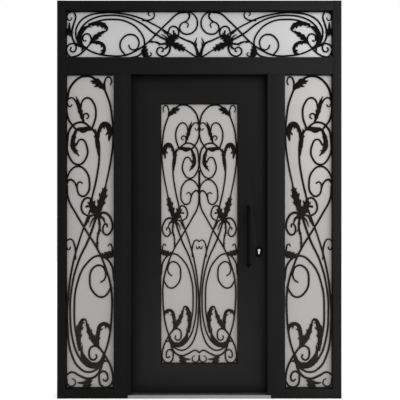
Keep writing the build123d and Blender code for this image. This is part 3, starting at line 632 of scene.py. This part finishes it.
# Rubber wedges between each pane and its beads, on the inside
wedge = {"width": 0.0065, "hidden": 0.004, "depth": 0.003}
for nodeName in ("transom_glass", "sidelight_left_glass", "sidelight_right_glass", "leaf_glass"):
    low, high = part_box(nodeName)
    pane = growPane(paneOf(nodeName), wedge["hidden"])
    ring = flatRing(pane, wedge["width"], high[1], high[1] + wedge["depth"])
    finishPiece(ring, nodeName.replace("glass", "wedge_seal"), rubberFinish, bodyOf(nodeName))
print("wedge seals made")


# Hinge and lock screws: a raised head with a round recess, modelled once for a set and copied
screw = {
    "radius": 0.0042, "head": 0.0012, "socket": 0.0024, "depth": 0.0009, "sides": 18,
    "rim": 0.0004, "crown": 0.0003,
}
plates = {
    "hingeHeight": 0.120, "hingeRises": (0.02, 0.06, 0.1), "fromHingeEdge": 0.025,
    "hingeThickness": 0.004, "fromPlateEnd": 0.012,
}


def screwHead(turn):
    bpy.ops.mesh.primitive_cylinder_add(
        vertices=screw["sides"], radius=screw["radius"], depth=screw["head"],
        rotation=(-pi / 2, 0, 0))
    head = bpy.context.object
    applyPlace(head)
    bpy.ops.object.mode_set(mode="EDIT")
    bpy.ops.mesh.select_mode(type="FACE")
    bpy.ops.mesh.select_all(action="DESELECT")
    bpy.ops.object.mode_set(mode="OBJECT")
    for face in head.data.polygons:
        face.select = face.normal.y > 0.9       # the outer end
    bpy.ops.object.mode_set(mode="EDIT")
    bpy.ops.mesh.inset(thickness=screw["rim"])
    bpy.ops.transform.translate(value=(0, screw["crown"], 0))
    bpy.ops.mesh.inset(thickness=screw["radius"] - screw["rim"] - screw["socket"])
    bpy.ops.mesh.extrude_region_move(TRANSFORM_OT_translate={"value": (0, -screw["depth"], 0)})
    bpy.ops.object.mode_set(mode="OBJECT")
    bpy.ops.object.shade_smooth_by_angle(angle=smoothBelow)
    head.rotation_euler = (0, 0, turn)
    applyPlace(head)
    return head


def screwSet(name, places, body, turn=0.0):
    first = screwHead(turn)
    pieces = []
    for place in places:
        copy = bpy.data.objects.new(name, first.data.copy())
        copy.location = place
        scene.collection.objects.link(copy)
        pieces.append(copy)
    bpy.data.objects.remove(first)
    makeActive(pieces[0])
    for piece in pieces:
        piece.select_set(True)
    bpy.ops.object.transform_apply(location=True, rotation=True, scale=True)
    bpy.ops.object.join()
    finishPiece(bpy.context.object, name, nickelFinish, body)


def plateEnds(low, high, x):        # one screw near each end of an upright plate
    middleY = (low[1] + high[1]) / 2
    inset = plates["fromPlateEnd"]
    return [(x, middleY, low[2] + inset), (x, middleY, high[2] - inset)]


low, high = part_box("hinge_frame_halves")
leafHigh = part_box("hinge_leaf_halves")[1]
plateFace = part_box("leaf_inner_skin")[1][1] + plates["hingeThickness"]
hingeStep = (high[2] - low[2] - plates["hingeHeight"]) / 2
screwHeights = [
    low[2] + hinge * hingeStep + rise for hinge in range(3) for rise in plates["hingeRises"]]
frameX, leafX = low[0] + plates["fromHingeEdge"], leafHigh[0] - plates["fromHingeEdge"]
screwSet("hinge_screws_frame", [(frameX, plateFace, z) for z in screwHeights], "frame")
screwSet("hinge_screws_leaf", [(leafX, plateFace, z) for z in screwHeights], "leaf")
low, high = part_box("lock_faceplate")
screwSet("faceplate_screws", plateEnds(low, high, high[0]), "leaf", -pi / 2)
low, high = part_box("strike_plate")
screwSet("strike_screws", plateEnds(low, high, low[0]), "frame", pi / 2)
print("screws made")


# Threshold: shallow grip ribs on the dark base
ribs = {
    "count": 5, "width": 0.003, "height": 0.0012, "first": -0.046, "step": 0.0075,
    "shorter": 0.06, "rounding": 0.0007,
}
low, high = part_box("threshold_base")
bpy.ops.mesh.primitive_cube_add(size=1, location=(0, ribs["first"], high[2]))
rib = bpy.context.object
rib.scale = (high[0] - low[0] - ribs["shorter"], ribs["width"], 2 * ribs["height"])
applyPlace(rib)
rounded = rib.modifiers.new("rounded", "BEVEL")
rounded.width = ribs["rounding"]
rounded.segments = 2
row = rib.modifiers.new("row", "ARRAY")
row.count = ribs["count"]
row.use_relative_offset = False
row.use_constant_offset = True
row.constant_offset_displace = (0, ribs["step"], 0)
applyModifiers(rib)
finishPiece(rib, "threshold_grip_ribs", thresholdDark, "frame")
print("threshold ribs made")


# Studio: pale floor, soft light from the upper right, camera straight on
studio = {
    "ambient": 0.76, "keyPlace": (2.7, -3.9, 2.8), "keyAim": (0, 0, 1.3), "keySize": 3.0,
    "keyPower": 95, "lens": 50, "sensor": 36, "cameraPlace": (0.0047, -3.775, 1.327),
    "floorSize": 16, "floorLift": 0.45, "floorRoughness": 0.9, "floorSpecular": 0.1,
    "floorColours": [(0.3, (0.86, 0.86, 0.86)), (0.7, (0.9, 0.9, 0.9))], "floorClouds": 0.6,
}


def backdropRays(tree):     # 1 for the rays that show the white backdrop
    path = tree.nodes.new("ShaderNodeLightPath")
    total = path.outputs["Is Camera Ray"]
    for ray in ("Is Glossy Ray", "Is Transmission Ray"):
        either = tree.nodes.new("ShaderNodeMath")
        either.operation = "MAXIMUM"
        tree.links.new(total, either.inputs[0])
        tree.links.new(path.outputs[ray], either.inputs[1])
        total = either.outputs[0]
    return total


def studioFloor():
    bpy.ops.mesh.primitive_plane_add(size=studio["floorSize"], location=(0, 0, 0))
    floor = bpy.context.object
    floor.name = "studio_floor"
    material, tree, shader = newMaterial("floor_pale")
    place = tree.nodes.new("ShaderNodeTexCoord").outputs["Object"]
    clouds = noiseNode(tree, place, studio["floorClouds"], noiseDetail["haze"])
    tree.links.new(rampNode(tree, clouds, studio["floorColours"]), shader.inputs["Base Color"])
    shader.inputs["Roughness"].default_value = studio["floorRoughness"]
    shader.inputs["Specular IOR Level"].default_value = studio["floorSpecular"]
    shader.inputs["Emission Color"].default_value = (1, 1, 1, 1)
    lift = tree.nodes.new("ShaderNodeMath")
    lift.operation = "MULTIPLY"
    lift.inputs[1].default_value = studio["floorLift"]
    tree.links.new(backdropRays(tree), lift.inputs[0])
    tree.links.new(lift.outputs[0], shader.inputs["Emission Strength"])
    floor.data.materials.append(material)


def studioWorld():
    world = bpy.data.worlds.new("studio")
    world.use_nodes = True
    tree = world.node_tree
    ambient = tree.nodes["Background"]
    ambient.inputs["Color"].default_value = (1, 1, 1, 1)
    ambient.inputs["Strength"].default_value = studio["ambient"]
    seen = tree.nodes.new("ShaderNodeBackground")
    seen.inputs["Color"].default_value = (1, 1, 1, 1)
    mix = tree.nodes.new("ShaderNodeMixShader")
    tree.links.new(backdropRays(tree), mix.inputs["Fac"])
    tree.links.new(ambient.outputs[0], mix.inputs[1])
    tree.links.new(seen.outputs[0], mix.inputs[2])
    tree.links.new(mix.outputs[0], tree.nodes["World Output"].inputs["Surface"])
    scene.world = world


studioFloor()
studioWorld()
bpy.ops.object.light_add(type="AREA", location=studio["keyPlace"])
key = bpy.context.object
key.name = "key_softbox"
key.data.size = studio["keySize"]
key.data.energy = studio["keyPower"]
toAim = Vector(studio["keyAim"]) - key.location
key.rotation_euler = toAim.to_track_quat("-Z", "Y").to_euler()
cameraData = bpy.data.cameras.new("camera")
cameraData.lens = studio["lens"]
cameraData.sensor_width = studio["sensor"]
camera = bpy.data.objects.new("camera", cameraData)
scene.collection.objects.link(camera)
camera.location = studio["cameraPlace"]
camera.rotation_euler = (radians(90), 0, 0)
scene.camera = camera
scene.view_settings.view_transform = "Standard"
print("studio ready")
